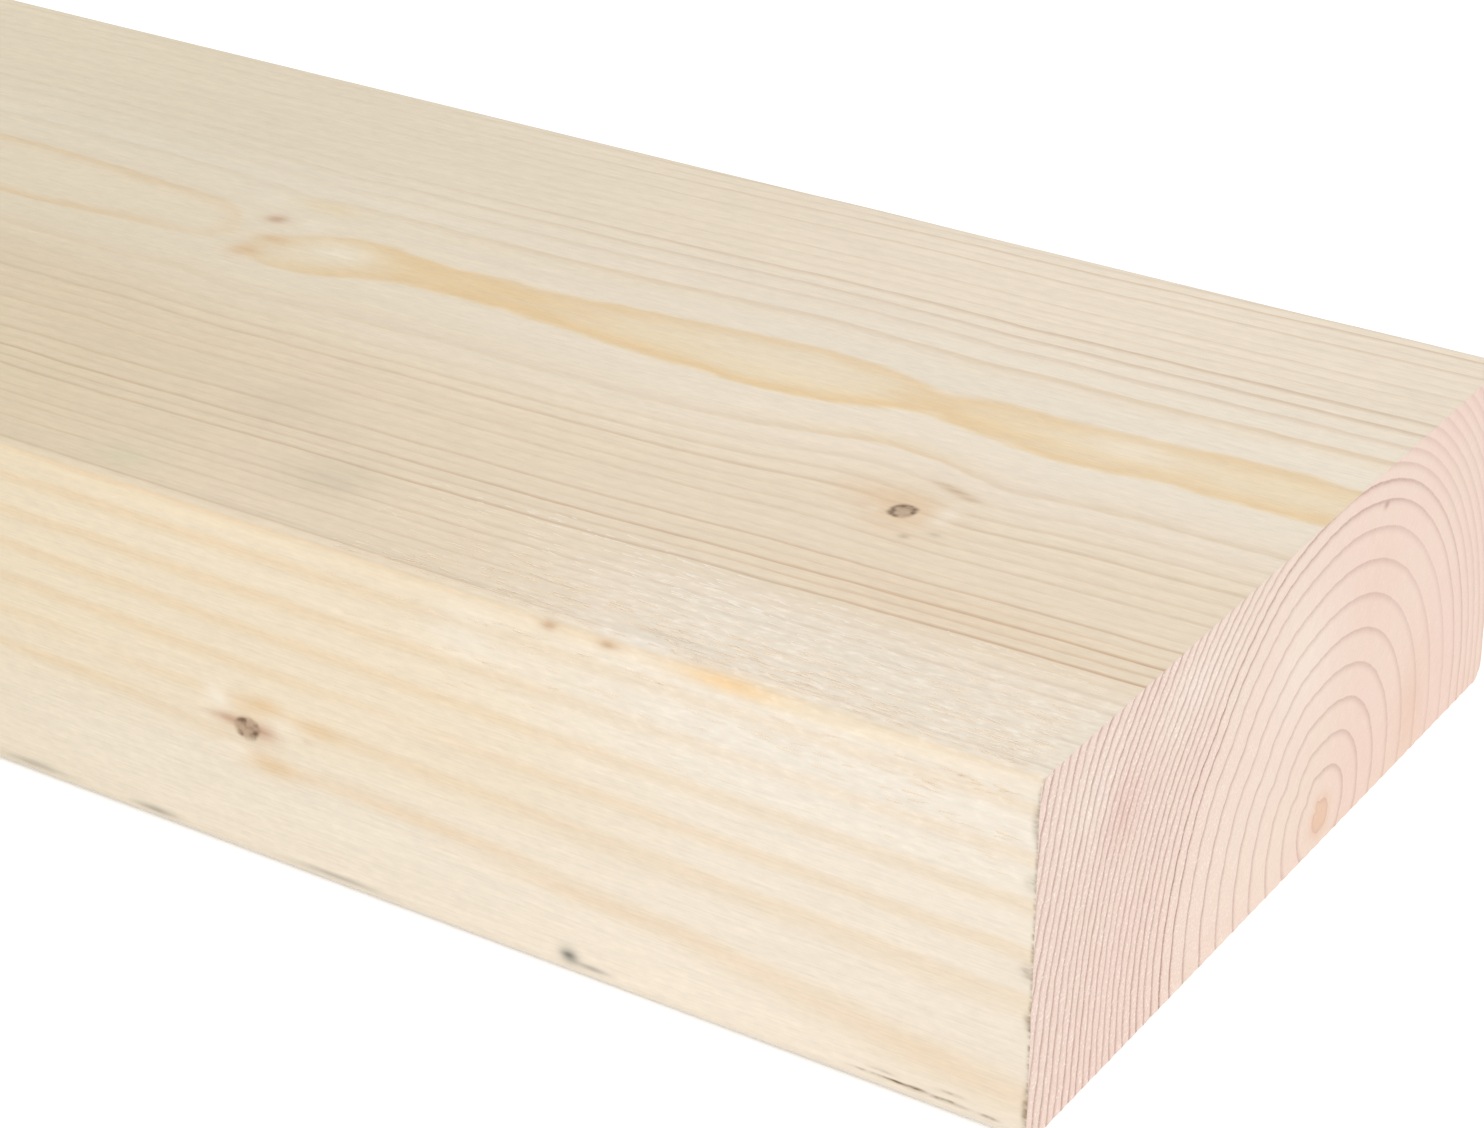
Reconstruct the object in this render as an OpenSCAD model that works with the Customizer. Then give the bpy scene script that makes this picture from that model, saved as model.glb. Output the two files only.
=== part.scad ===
// Planed softwood plank: one sawn piece of solid timber that lies flat on a wide face.
// Units are millimetres. X runs along the grain, Y across the width and Z up.
// The origin is under the middle of the plank, on the face that it rests on.

/* [Section] */
// Width of the wide faces, across the grain
width = 120; // [60:1:250]
// Thickness, from the face it rests on to the face on top
thickness = 45; // [18:1:100]
// Radius that eases the four long edges
edge_radius = 2; // [0.5:0.5:8]

/* [Length] */
// Length between the two square-sawn ends
length = 2400; // [300:100:6000]

/* [Hidden] */
wood_colour = [0.90, 0.83, 0.73];
edge_fragments = 64;
// Flat width and flat thickness left between the eased edges
flat_width = width - 2 * edge_radius;
flat_thickness = thickness - 2 * edge_radius;

// Section of the plank across the grain, with its lower edge on the axis:
// two crossed rectangles, with a round in each of the four corners
module eased_section() {
    translate([-flat_width / 2, 0])
        square([flat_width, thickness]);
    translate([-width / 2, edge_radius])
        square([width, flat_thickness]);
    for (side = [-1, 1], level = [0, 1])
        translate([side * flat_width / 2, edge_radius + level * flat_thickness])
            circle(r = edge_radius, $fn = edge_fragments);
}

// The whole plank: the section drawn out along X and sawn square at both ends
module plank() {
    color(wood_colour)
        translate([-length / 2, 0, 0])
            rotate([90, 0, 90])
                linear_extrude(height = length)
                    eased_section();
}

plank();
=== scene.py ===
"""Planed softwood plank with growth rings, knots and sawn ends, on a pale floor."""

import math

import bpy
import numpy as np
from bpy.props import FloatProperty, FloatVectorProperty, PointerProperty
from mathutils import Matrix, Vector


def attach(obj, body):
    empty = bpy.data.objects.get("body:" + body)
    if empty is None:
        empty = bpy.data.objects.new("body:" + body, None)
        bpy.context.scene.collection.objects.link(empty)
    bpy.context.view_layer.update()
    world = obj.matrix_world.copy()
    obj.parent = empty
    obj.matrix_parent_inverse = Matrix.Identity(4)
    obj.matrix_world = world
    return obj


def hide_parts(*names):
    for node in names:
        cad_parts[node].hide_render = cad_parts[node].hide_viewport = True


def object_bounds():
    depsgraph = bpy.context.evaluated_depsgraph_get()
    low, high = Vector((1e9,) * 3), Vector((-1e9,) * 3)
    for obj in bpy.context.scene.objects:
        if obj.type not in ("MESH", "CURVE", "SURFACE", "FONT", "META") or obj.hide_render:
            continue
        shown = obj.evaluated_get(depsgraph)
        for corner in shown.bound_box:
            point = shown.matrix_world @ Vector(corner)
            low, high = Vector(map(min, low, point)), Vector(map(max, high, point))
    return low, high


bl_info = {
    "name": "Planed Plank",
    "version": (1, 0, 0),
    "blender": (4, 5, 0),
    "location": "3D View > Sidebar > Plank",
    "description": "Makes a planed softwood plank and the stage that it lies on",
    "category": "Object",
}

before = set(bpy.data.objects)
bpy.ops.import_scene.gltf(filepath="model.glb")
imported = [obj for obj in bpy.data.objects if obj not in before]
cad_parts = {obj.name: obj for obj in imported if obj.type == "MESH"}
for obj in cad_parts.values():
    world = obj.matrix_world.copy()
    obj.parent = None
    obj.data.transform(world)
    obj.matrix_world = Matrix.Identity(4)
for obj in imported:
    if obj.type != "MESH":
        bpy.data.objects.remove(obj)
CAD_LOW, CAD_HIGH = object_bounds()
CAD_SIZE = CAD_HIGH - CAD_LOW

NODE = "plank"
BODY = "root"
MM = 0.001

# Rows of the plank's mesh: long cells along the grain and fine ones across it
ROWS_ALONG = 186
ROWS_ACROSS = 150
ROWS_THROUGH = 58
# Rows that each eased edge takes, and how strongly the rows crowd towards the ends
EDGE_ROWS = 6
END_CROWDING = 0.86

# Fibres that the planer raised
FIBRE_COUNT = 900

# Seed of the strong and weak years of the tree
YEAR_SEED = 142631.0

# All places below are in millimetres from the near bottom corner of the cut end:
# distance from the cut end, distance from the near side, height.

# Where the pith rises or dips, so that the heart flame on the top face swells or narrows:
# distance from the cut end, rise and reach
FLAME_SWELLS = (
    (30, -0.08, 14),
    (53.4, -0.19, 5.6),
    (76, 0.21, 13),
    (114, -0.19, 12),
    (130, -0.14, 6),
    (157, -0.31, 5),
    (200, 0.45, 30),
)

# Knots near the cut end: distance from it, angle about the pith from straight up
# in degrees, radius and darkness
NEAR_KNOTS = (
    (42.1, -33.1, 1.35, 0.8),
    (104.1, -78.4, 1.5, 0.9),
)
# Rings that lie further out or in than round ones: distance, angle in degrees, push,
# reach along and reach round the pith in degrees
RING_BULGES = (
    (154, 6, 0.45, 7, 7),
    (147, -11, -0.45, 9, 7),
    (49, -25, 0.65, 14, 14),
    (4, -21, -0.4, 20, 8),
    (34, -25, -0.9, 9, 14),
    (100, -81, 0.35, 9, 5),
    (120, -26, -1.3, 65, 9),
    (95, 29, -0.5, 60, 11),
    (15, -49, 0.7, 45, 6.5),
)
# Wood that the knots bent or stained: colour, place, reach along, across and up, and strength
KNOT_WOOD = (
    ("honey", (101.2, 0.0, 22.0), (2.6, 1.5, 0.9), 0.55),
    ("honey", (93.4, 0.0, 21.2), (3.2, 1.5, 0.9), 0.45),
    ("brown", (95.2, 0.0, 19.0), (0.9, 1.5, 0.4), 0.30),
    ("honey", (100.6, 0.0, 13.8), (4.0, 1.5, 1.3), 0.50),
    ("bent", (108.4, 0.0, 21.2), (2.0, 1.5, 1.8), 0.80),
    ("bent", (98.6, 0.0, 20.0), (2.7, 1.5, 1.2), 0.55),
    ("bent", (106.0, 0.0, 14.8), (2.6, 1.5, 1.2), 0.60),
    ("bent", (126.0, 0.0, 22.4), (15.0, 1.5, 0.8), 0.35),
    ("bent", (82.0, 0.0, 25.6), (12.0, 1.5, 0.9), 0.35),
    ("bent", (112.0, 0.0, 9.0), (40.0, 1.5, 6.0), 0.20),
    ("honey", (125.0, 0.0, 18.4), (16.0, 1.5, 0.7), 0.12),
    ("honey", (82.0, 0.0, 13.6), (14.0, 1.5, 0.8), 0.20),
    ("honey", (56.0, 0.0, 11.2), (14.0, 1.5, 0.9), 0.20),
    ("honey", (10.0, 0.0, 7.0), (14.0, 1.5, 3.0), 0.12),
    ("flare", (106.6, 0.0, 18.5), (2.7, 1.5, 0.7), 0.80),
    ("flare", (102.2, 0.0, 18.1), (2.4, 1.5, 1.0), 0.90),
    ("knot_halo", (46.0, 45.8, 45.0), (6.0, 3.4, 2.0), 0.50),
    ("knot_halo", (26.0, 26.0, 45.0), (24.0, 4.5, 2.0), 0.28),
    ("knot_halo", (40.0, 43.0, 45.0), (6.0, 8.0, 2.0), 0.22),
    ("bent", (37.2, 45.2, 45.0), (1.4, 3.0, 2.0), 0.55),
    ("bent", (45.2, 42.5, 45.0), (0.9, 0.7, 2.0), 0.45),
    # The two tear spots are painted shade by the knot on the top face
    ("tear", (38.8, 38.4, 45.0), (0.7, 0.5, 2.0), 0.30),
    ("tear", (36.1, 40.5, 45.0), (0.9, 0.5, 2.0), 0.25),
    ("brown", (41.3, 52.1, 45.0), (1.8, 0.5, 2.0), 0.45),
    ("brown", (39.2, 51.2, 45.0), (1.8, 0.5, 2.0), 0.55),
    ("brown", (37.1, 50.2, 45.0), (1.8, 0.5, 2.0), 0.50),
    ("flare", (156.4, 72.2, 45.0), (1.6, 1.3, 2.0), 0.85),
    ("knot_halo", (153.4, 61.8, 45.0), (2.4, 2.2, 2.0), 0.75),
    ("knot_halo", (151.8, 66.6, 45.0), (3.0, 1.4, 2.0), 0.75),
    ("bent", (151.0, 73.0, 45.0), (2.2, 1.6, 2.0), 0.60),
    ("bent", (142.0, 67.2, 45.0), (5.2, 3.2, 2.0), 0.85),
    ("bent", (27.0, 71.8, 45.0), (7.0, 2.4, 2.0), 0.50),
    ("bent", (160.5, 77.6, 45.0), (4.0, 2.2, 2.0), 0.45),
    ("straw", (152.6, 79.0, 45.0), (5.0, 1.8, 2.0), 0.30),
)

# Marks on the planed faces: colour, place, reach along, across and up, and strength
MARKS = (
    ("brown", (60.7, 0.3, 44.5), (1.1, 1.2, 0.5), 0.95),
    ("brown", (53.0, 0.3, 44.4), (1.3, 1.2, 0.4), 0.95),
    ("resin", (55.0, 0.3, 44.4), (9.0, 1.2, 0.5), 0.14),
    ("resin", (37.6, 0.3, 44.5), (6.0, 1.5, 1.1), 0.80),
    ("straw", (26.0, 0.3, 44.2), (14.0, 1.5, 1.1), 0.25),
    ("stain_and_shade", (47.0, 4.7, 45.0), (5.0, 0.6, 2.0), 0.20),
    ("fuzz_and_lit_edge", (49.0, 2.3, 45.0), (4.5, 1.0, 2.0), 0.50),
    ("fuzz_and_lit_edge", (72.0, 0.3, 40.5), (5.0, 1.5, 3.0), 0.40),
    ("fuzz_and_lit_edge", (32.0, 0.3, 38.0), (30.0, 1.5, 6.0), 0.16),
    ("stain_and_shade", (58.8, 0.0, 2.9), (1.2, 1.5, 1.0), 0.85),
    ("stain_and_shade", (55.6, 0.0, 2.2), (2.2, 1.5, 0.4), 0.50),
    ("stain_and_shade", (139.0, 0.3, 1.9), (4.5, 1.5, 0.5), 0.60),
    ("stain_and_shade", (119.5, 0.3, 1.8), (3.0, 1.5, 0.5), 0.60),
    ("stain_and_shade", (92.0, 0.3, 1.8), (6.0, 1.5, 0.4), 0.50),
    ("stain_and_shade", (102.0, 15.0, 45.0), (6.0, 4.5, 2.0), 0.16),
    ("stain_and_shade", (118.0, 28.0, 45.0), (6.0, 6.0, 2.0), 0.08),
    ("moss", (126.0, 6.5, 45.0), (4.0, 2.5, 2.0), 0.16),
    # Painted shade: a long faint grey line on the top just inside the near eased edge, where that edge
    # turns from the light
    ("stain_and_shade", (90.0, 3.6, 45.0), (45.0, 0.5, 1.0), 0.12),
)
# Marks on the cut end, in the same form
END_MARKS = (
    ("end_flush", (0.0, 19.0, 32.0), (50.0, 4.0, 5.0), 0.60),
    ("fuzz_and_lit_edge", (0.0, 36.0, 39.0), (50.0, 8.0, 4.5), 0.30),
    ("fuzz_and_lit_edge", (0.0, 13.0, 37.0), (50.0, 8.0, 6.0), 0.20),
    ("fuzz_and_lit_edge", (0.0, 64.0, 27.0), (50.0, 9.0, 8.0), 0.20),
    ("pith", (0.0, 97.0, 7.0), (50.0, 4.5, 8.0), 0.28),
    ("pith", (0.0, 83.0, 29.0), (50.0, 6.0, 7.0), 0.12),
    ("end_line", (0.0, 83.8, 40.2), (50.0, 0.7, 0.5), 0.60),
)
# Torn slivers along the lower near edge, and clumps along the cut end's near edge: colour, place, reach and
# depth.
# Their dark colour is painted shade inside the torn fibres; the depth sinks them in the relief.
TEARS = (
    ("tear", (19.9, 0.0, 2.15), (1.9, 1.5, 0.18), 0.2),
    ("tear", (16.4, 0.0, 2.15), (2.0, 1.5, 0.20), 0.3),
    ("tear", (17.8, 0.0, 2.90), (1.4, 1.5, 0.18), 0.1),
    ("tear", (13.6, 0.0, 2.10), (1.3, 1.5, 0.26), 0.3),
    ("tear", (9.6, 0.0, 2.05), (2.6, 1.5, 0.20), 0.3),
    ("tear", (9.2, 0.0, 3.30), (1.5, 1.5, 0.18), 0.1),
    ("tear", (4.6, 0.0, 2.00), (1.1, 1.5, 0.20), 0.2),
    ("tear", (0.5, 0.0, 32.6), (0.8, 1.2, 0.90), 0.1),
    ("tear", (0.6, 0.0, 21.9), (0.9, 1.2, 0.90), 0.1),
    ("tear", (0.3, 0.0, 15.8), (0.5, 1.2, 1.00), 0.1),
    ("tear", (0.3, 0.0, 39.8), (0.5, 1.2, 1.80), 0.1),
    ("tear", (0.3, 0.0, 4.5), (0.4, 1.2, 2.60), 0.1),
)
# Marks above this height show on the top face, and marks nearer than this show on the near side
TOP_FROM = 43.0
SIDE_TO = 1.0

# Zones of the wood: the place where each begins, and the place where it is full
UNSEEN = (190.0, 520.0)
KNOTS_FROM = (240.0, 250.0)
NEAR_SIDE = (3.0, 0.5)
FAR_HALF = (72.0, 84.0)
FADED = (100.0, 175.0)
# Painted shade that deepens away from the ends, and more so on the near part of the top
FALLOFF_ALONG = (-30.0, 210.0)
FALLOFF_ACROSS = (70.0, 10.0)
TOP_EDGE = (41.8, 44.2)
# Band of painted light along the near side's lower edge, where the plank meets the floor
LIT_LOWER_EDGE = (1.5, 0.3)
SUNNED_ALONG = (30.0, 80.0)
SUNNED_HEIGHT = (10.0, 24.0)
WOOL = ((82.0, 42.0), (24.0, 12.0), (24.0, 38.0))
WOOL_SUNK = ((130.0, 60.0), (24.0, 6.0), (32.0, 40.0))
FLAME_END = (135.0, 165.0)
END_NEAR_HALF = (62.0, 30.0)
END_FAR_HALF = (52.0, 76.0)
END_FAINT = (76.0, 104.0)
# Zones by the radius of the rings
NARROW_RINGS = (36.0, 50.0)
YOUNG_RINGS = (45.0, 42.0)
OLD_RINGS = (42.5, 46.5)
PITH = (4.2, 0.6)
# Stripes along the top face whose ring lines are fainter: where each begins, where it is full,
# and its share
QUIET_STRIPES = ((96.5, 100.0, 0.18), (21.0, 14.0, 0.35), (88.0, 92.0, 0.27))
# Share of a face's turn towards a ring at which it cuts along the ring and not across it
ALONG_RING = (0.925, 0.985)

# Sizes of the wood's noise, as features in a millimetre along, across and up
RIPPLE = (0.16, 0.42, 0.42)
WAVER = (0.06, 0.10, 0.10)
MOTTLE = (0.55, 0.70, 0.70)
PLANER_WAVE = (0.012, 0.06, 0.06)
CHIPS = (0.4, 0.5, 0.5)
END_PATCHES = (0.0, 0.06, 0.06)
END_GRAIN = (0.0, 2.8, 2.8)
END_SCRATCH = (1.0, 0.25, 3.0)
# Sizes of the fibres' noise, as features in a metre
FINE_FIBRES = (180.0, 3200.0, 3200.0)
SPECKLE = (520.0, 1300.0, 1300.0)
BROAD_FIBRES = (30.0, 520.0, 520.0)
CLOUD = (11.0, 45.0, 45.0)
# Distance between the saw marks on the ends, and how they lean
SAW_PITCH = 2.6
SAW_LEAN = (0.94, 0.34)
# Greatest depth of the chips along the cut end's near edge, and of the woolly patch
CHIP_DEPTH = 0.35
WOOL_DEPTH = 0.07

# Stage: half the floor's side, its glow, the way to the lamp, the width of the camera's sensor
# in millimetres, and how near to the camera things still show
FLOOR_REACH = 60.0
FLOOR_GLOW = 0.26
LAMP_WAY = (0.62, -0.50, 0.50)
SENSOR_WIDTH = 36.0
CLIP_START = 0.01


def srgb(red, green, blue):
    """Scene colour of an 8-bit display colour."""

    def scene(value):
        share = value / 255
        if share <= 0.04045:
            return share / 12.92
        return ((share + 0.055) / 1.055) ** 2.4

    return tuple(scene(value) for value in (red, green, blue))


def size_prop(name, description, default):
    """A length that a user can change."""
    return FloatProperty(
        name=name, description=description, default=default, unit="LENGTH", precision=5
    )


def colour_prop(name, description, *display):
    """A colour that a user can change, given as 8-bit display values."""
    return FloatVectorProperty(
        name=name, description=description, default=srgb(*display), subtype="COLOR", min=0, max=1
    )


class PlankSizes(bpy.types.PropertyGroup):
    """Sizes of the plank and of its growth rings."""

    length: size_prop("Length", "Length between the two sawn ends", CAD_SIZE.x)
    width: size_prop("Width", "Width of the wide faces", CAD_SIZE.y)
    thickness: size_prop("Thickness", "Thickness of the plank", CAD_SIZE.z)
    edge_radius: size_prop("Edge radius", "Radius that eases the long edges", 2 * MM)
    relief: size_prop("Relief", "How far summer wood stands above spring wood", 0.07 * MM)
    saw_depth: size_prop("Saw marks", "Depth of the saw marks on the ends", 0.09 * MM)
    pith_across: size_prop("Pith across", "Place of the pith from the near side", 71.5 * MM)
    pith_height: size_prop("Pith height", "Height of the pith above the resting face", 4.0 * MM)
    young_ring: size_prop("Young ring", "Width of the rings of the tree's first years", 4.21 * MM)
    old_ring: size_prop("Old ring", "Width of the rings of its later years", 1.61 * MM)
    slowing: size_prop("Slowing", "Radius at which the growth slowed down", 40.5 * MM)
    summer_wood: size_prop("Summer wood", "Thickness of the dark part of a ring", 0.55 * MM)
    fibre_length: size_prop("Fibre length", "Length of a raised fibre", 3.0 * MM)
    fibre_thickness: size_prop("Fibre thickness", "Thickness of a raised fibre at its root", 0.09 * MM)


class WoodColours(bpy.types.PropertyGroup):
    """Colours of the wood."""

    spring: colour_prop("Spring wood", "Pale wood of wide rings", 243, 232, 215)
    dense: colour_prop("Dense wood", "Wood of narrow rings", 240, 223, 199)
    honey: colour_prop("Honey", "Summer wood that is cut along a ring", 228, 184, 120)
    straw: colour_prop("Straw", "Wood inside the heart flame", 241, 208, 140)
    brown: colour_prop("Brown", "Summer wood that is cut across a ring", 194, 159, 124)
    # Mixed in as a tint on the far half, and multiplied in as painted shade away from the ends
    far_tint_and_shade: colour_prop("Weathered", "Tint of the wood away from a fresh cut", 240, 238, 229)
    knot: colour_prop("Knot", "Wood of the knots", 188, 161, 136)
    knot_rim: colour_prop("Knot rim", "Bark line and cracks of the knots", 122, 99, 78)
    knot_halo: colour_prop("Knot halo", "Stained wood around the knots", 230, 198, 160)
    flare: colour_prop("Knot flare", "Wood that runs out from a knot", 200, 162, 137)
    bent: colour_prop("Bent wood", "Pale wood that bends round the knots", 250, 240, 224)
    end_pale: colour_prop("End pale", "Pale wood of the sawn ends", 238, 219, 204)
    end_rosy: colour_prop("End rosy", "Rosy wood of the sawn ends", 238, 214, 202)
    end_flush: colour_prop("End flush", "Pink patch on the cut end", 230, 192, 182)
    end_line: colour_prop("End line", "Summer wood on the sawn ends", 172, 134, 122)
    pith: colour_prop("Pith", "Pith at the middle of the rings", 226, 186, 156)
    resin: colour_prop("Resin", "Resin that stains the near top edge", 250, 200, 122)
    # Serves the grey handling marks, and a painted shade line along the top's near edge
    stain_and_shade: colour_prop("Stain", "Grey handling marks", 124, 122, 116)
    moss: colour_prop("Moss", "Green handling mark", 170, 200, 160)
    # Also painted as light along the near side's lower edge
    fuzz_and_lit_edge: colour_prop("Fuzz", "Fibres that the planer raised", 252, 246, 236)
    tear: colour_prop("Tear", "Shade inside torn fibres", 118, 92, 54)


class StageSizes(bpy.types.PropertyGroup):
    """Camera and light."""

    focal_length: FloatProperty(
        name="Focal length", description="Focal length of the camera, in millimetres", default=91.3
    )
    camera_place: FloatVectorProperty(
        name="Camera place",
        description="Place of the camera from the near bottom corner of the cut end",
        default=(149.63 * MM, -286.14 * MM, 239.17 * MM),
        subtype="TRANSLATION",
        unit="LENGTH",
    )
    camera_azimuth: FloatProperty(
        name="Azimuth",
        description="Turn of the camera towards the cut end",
        default=math.radians(32.91),
        unit="ROTATION",
    )
    camera_elevation: FloatProperty(
        name="Elevation",
        description="Height of the camera above the horizon",
        default=math.radians(27.82),
        unit="ROTATION",
    )
    sky_level: FloatProperty(name="Sky level", description="Strength of the even light", default=0.74)
    lamp_level: FloatProperty(name="Lamp level", description="Strength of the soft lamp", default=1.22)
    lamp_spread: FloatProperty(
        name="Lamp spread",
        description="Angle that the soft lamp fills",
        default=math.radians(48),
        unit="ROTATION",
    )
    floor: colour_prop("Floor", "Colour of the floor", 248, 248, 248)


class Field:
    """A socket of a node tree. Arithmetic on it adds the nodes that work it out."""

    def __init__(self, tree, socket):
        self.tree = tree
        self.socket = socket

    def math(self, operation, *others):
        return result(self.tree, "ShaderNodeMath", (self, *others), operation=operation)

    def __add__(self, other):
        return self.math("ADD", other)

    def __sub__(self, other):
        return self.math("SUBTRACT", other)

    def __mul__(self, other):
        return self.math("MULTIPLY", other)

    def __truediv__(self, other):
        return self.math("DIVIDE", other)

    def __rsub__(self, other):
        return self.math("MULTIPLY_ADD", -1.0, other)

    def times(self, factor, more):
        """This field times a factor, with more added."""
        return self.math("MULTIPLY_ADD", factor, more)

    def __neg__(self):
        return self.math("MULTIPLY", -1.0)

    def inverse(self):
        """One less this field."""
        return self.math("MULTIPLY_ADD", -1.0, 1.0)

    def most(self, other):
        """The greater of two fields."""
        return self.math("MAXIMUM", other)

    def least(self, other):
        """The smaller of two fields."""
        return self.math("MINIMUM", other)

    def ramp(self, low, high):
        """Smooth step from 0 at low to 1 at high."""
        inputs = {"Value": self, "From Min": low, "From Max": high}
        return result(self.tree, "ShaderNodeMapRange", inputs, interpolation_type="SMOOTHSTEP")

    def bell(self, centre, reach):
        """Bump of height 1 at centre that fades over reach."""
        off = self.math("MULTIPLY_ADD", 1 / reach, -centre / reach)
        return (off * off).fade()

    def fade(self):
        """Field that falls from 1 at 0 and is soon 0."""
        return result(self.tree, "ShaderNodeMath", (1 / math.e, self), operation="POWER")

    def towards(self, other, share):
        """Field between this one and another."""
        return (other - self).times(share, self)


def add_node(tree, kind, inputs=(), **settings):
    """New node with its settings made and its inputs linked or set."""
    node = tree.nodes.new(kind)
    for name, value in settings.items():
        setattr(node, name, value)
    pairs = inputs.items() if isinstance(inputs, dict) else enumerate(inputs)
    for key, value in pairs:
        if isinstance(value, Field):
            tree.links.new(value.socket, node.inputs[key])
        else:
            node.inputs[key].default_value = value
    return node


def result(tree, kind, inputs=(), output=0, **settings):
    """First or named output of a new node."""
    return Field(tree, add_node(tree, kind, inputs, **settings).outputs[output])


def summed(start, *parts):
    """A number and some fields added up, each field by its share."""
    total = start
    for field, share in parts:
        total = field.times(share, total)
    return total


def axes(vector):
    """The three numbers of a vector field."""
    node = add_node(vector.tree, "ShaderNodeSeparateXYZ", (vector,))
    return tuple(Field(vector.tree, socket) for socket in node.outputs)


def joined(tree, x=0.0, y=0.0, z=0.0):
    """Vector field of three numbers."""
    return result(tree, "ShaderNodeCombineXYZ", (x, y, z))


def vector_math(vector, operation, *others):
    """Vector field worked out from another."""
    return result(vector.tree, "ShaderNodeVectorMath", (vector, *others), operation=operation)


def scaled(vector, *factors):
    """Vector field stretched along each axis."""
    return vector_math(vector, "MULTIPLY", factors)


def noise(vector, detail=2.0, roughness=0.5):
    """Noise from about -1 to 1 with features about one unit wide."""
    inputs = {"Vector": vector, "Scale": 1.0, "Detail": detail, "Roughness": roughness}
    return result(vector.tree, "ShaderNodeTexNoise", inputs).times(2.0, -1.0)


def mark(place, centre, reach):
    """Soft spot of height 1 at a place, given in millimetres as the places above."""
    scale = tuple(1 / value for value in reach)
    shift = tuple(-middle / value for middle, value in zip(centre, reach))
    off = vector_math(place, "MULTIPLY_ADD", scale, shift)
    kind = "ShaderNodeVectorMath"
    far = result(place.tree, kind, (off, off), output="Value", operation="DOT_PRODUCT")
    return far.fade()


def stained(colour, place, marks, colours, ragged=1.0):
    """Colour with marks on it, laid on one colour after another."""
    strengths = {}
    for name, centre, reach, weight in marks:
        strengths[name] = mark(place, centre, reach).times(weight, strengths.get(name, 0.0))
    for name, strength in strengths.items():
        colour = blended(strength * ragged, colour, getattr(colours, name))
    return colour


def blended(factor, first, second, mode="MIX"):
    """Colour between two colours."""
    tree = factor.tree
    node = add_node(tree, "ShaderNodeMix", data_type="RGBA", blend_type=mode)
    for index, value in ((0, factor), (6, first), (7, second)):
        if isinstance(value, Field):
            tree.links.new(value.socket, node.inputs[index])
        else:
            node.inputs[index].default_value = (*value, 1.0)
    return Field(tree, node.outputs[2])


def shaded(colour, shade):
    """Colour made lighter or darker by a number near 1."""
    return vector_math(colour, "MULTIPLY", joined(colour.tree, shade, shade, shade))


def plank_place(place, sizes):
    """Place in millimetres from the near bottom corner of the cut end."""
    corner = (-sizes.length / MM / 2, -sizes.width / MM / 2, 0.0)
    turned = scaled(place, -1 / MM, 1 / MM, 1 / MM)
    return vector_math(turned, "SUBTRACT", corner)


def zone(spot, along, across, up):
    """Mask of a zone with soft borders along, across and up the plank."""
    from_end, from_side, height = axes(spot)
    return from_end.ramp(*along) * from_side.ramp(*across) * height.ramp(*up)


def pith_line(from_end, sizes):
    """Distance of the pith from the near side, its height, and how far the plank is out of sight."""
    tree = from_end.tree
    sway_length, sway_reach, sway_row = 420.0, 10.0, (3.7, 0.0)
    lift_length, lift_reach, lift_row = 260.0, 3.0, (9.1, 4.0)
    leans_to, lean = 140.0, -0.028
    unseen = from_end.ramp(*UNSEEN)
    sway = noise(joined(tree, from_end / sway_length, *sway_row), 1.0) * unseen
    lift = noise(joined(tree, from_end / lift_length, *lift_row), 1.0) * unseen
    across = summed(sizes.pith_across / MM, (sway, sway_reach), (from_end.least(leans_to), lean))
    height = lift.times(lift_reach, sizes.pith_height / MM)
    for distance, rise, reach in FLAME_SWELLS:
        height = from_end.bell(distance, reach).times(rise, height)
    return across, height, unseen


def side_rings(from_end, across, height, sizes):
    """Ring radius by the near side, where the rings run flatter and fan out to the cut end."""
    first_radius, first_height, last_band = 80.56, 41.6, 5.5
    end_spacing, narrowing, narrows_to = 5.8, -0.0079, 170.0
    fan_from, end_fan, fan_loss = 4.0, 0.54, -0.0042
    slope = 0.93
    spacing = from_end.least(narrows_to).times(narrowing, end_spacing)
    count = (first_height - height) / spacing
    fan = from_end.times(fan_loss, end_fan).most(0.0)
    count = (count - (count - fan_from).most(0.0) * fan).least(last_band)
    return first_radius - count * (sizes.old_ring / MM) - across * slope


def ring_number(radius, sizes):
    """Number of growth rings inside a radius, and the width of the rings there.

    The rings are wide near the pith, and narrow softly past the slowing radius."""
    young = MM / sizes.young_ring
    gain = MM / sizes.old_ring - young
    softness = 2.0
    first_ring = 0.496
    past = ((radius - sizes.slowing / MM) / softness).math("EXPONENT")
    slowed = (past + 1.0).math("LOGARITHM", math.e) * (softness * gain)
    number = radius * young + slowed - first_ring
    rate = past / (past + 1.0) * gain + young
    return number, rate.math("POWER", -1.0)


def knot_marks(along, across, size, darkness, wobble):
    """Masks of one knot from the distances to its axis."""
    stretch, core_wobble, halo_wobble = 0.8, 0.35, 0.6
    core_from, core_to, halo_from, halo_to = 1.30, 0.75, 4.2, 0.9
    rim, rim_width = 0.80, 0.26
    apart = (along * along * stretch + across * across).math("SQRT") / size
    core = wobble.times(core_wobble, apart)
    return {
        "knot": core.ramp(core_from, core_to) * darkness,
        "knot_rim": core.bell(rim, rim_width) * darkness,
        "knot_halo": wobble.times(halo_wobble, apart).ramp(halo_from, halo_to) * darkness,
    }


class Stem:
    """Where a place of the wood lies in the stem that it was sawn from, in millimetres."""

    def __init__(self, spot, sizes):
        self.tree = spot.tree
        self.spot = spot
        self.from_end, self.across, self.height = axes(spot)
        pith_across, pith_height, self.unseen = pith_line(self.from_end, sizes)
        self.off_y = self.across - pith_across
        self.off_z = self.height - pith_height
        self.radius = (self.off_y * self.off_y + self.off_z * self.off_z).math("SQRT")
        self.angle = self.off_y.math("ARCTAN2", self.off_z)
        self.ripple = noise(scaled(spot, *RIPPLE), 1.0)


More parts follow.
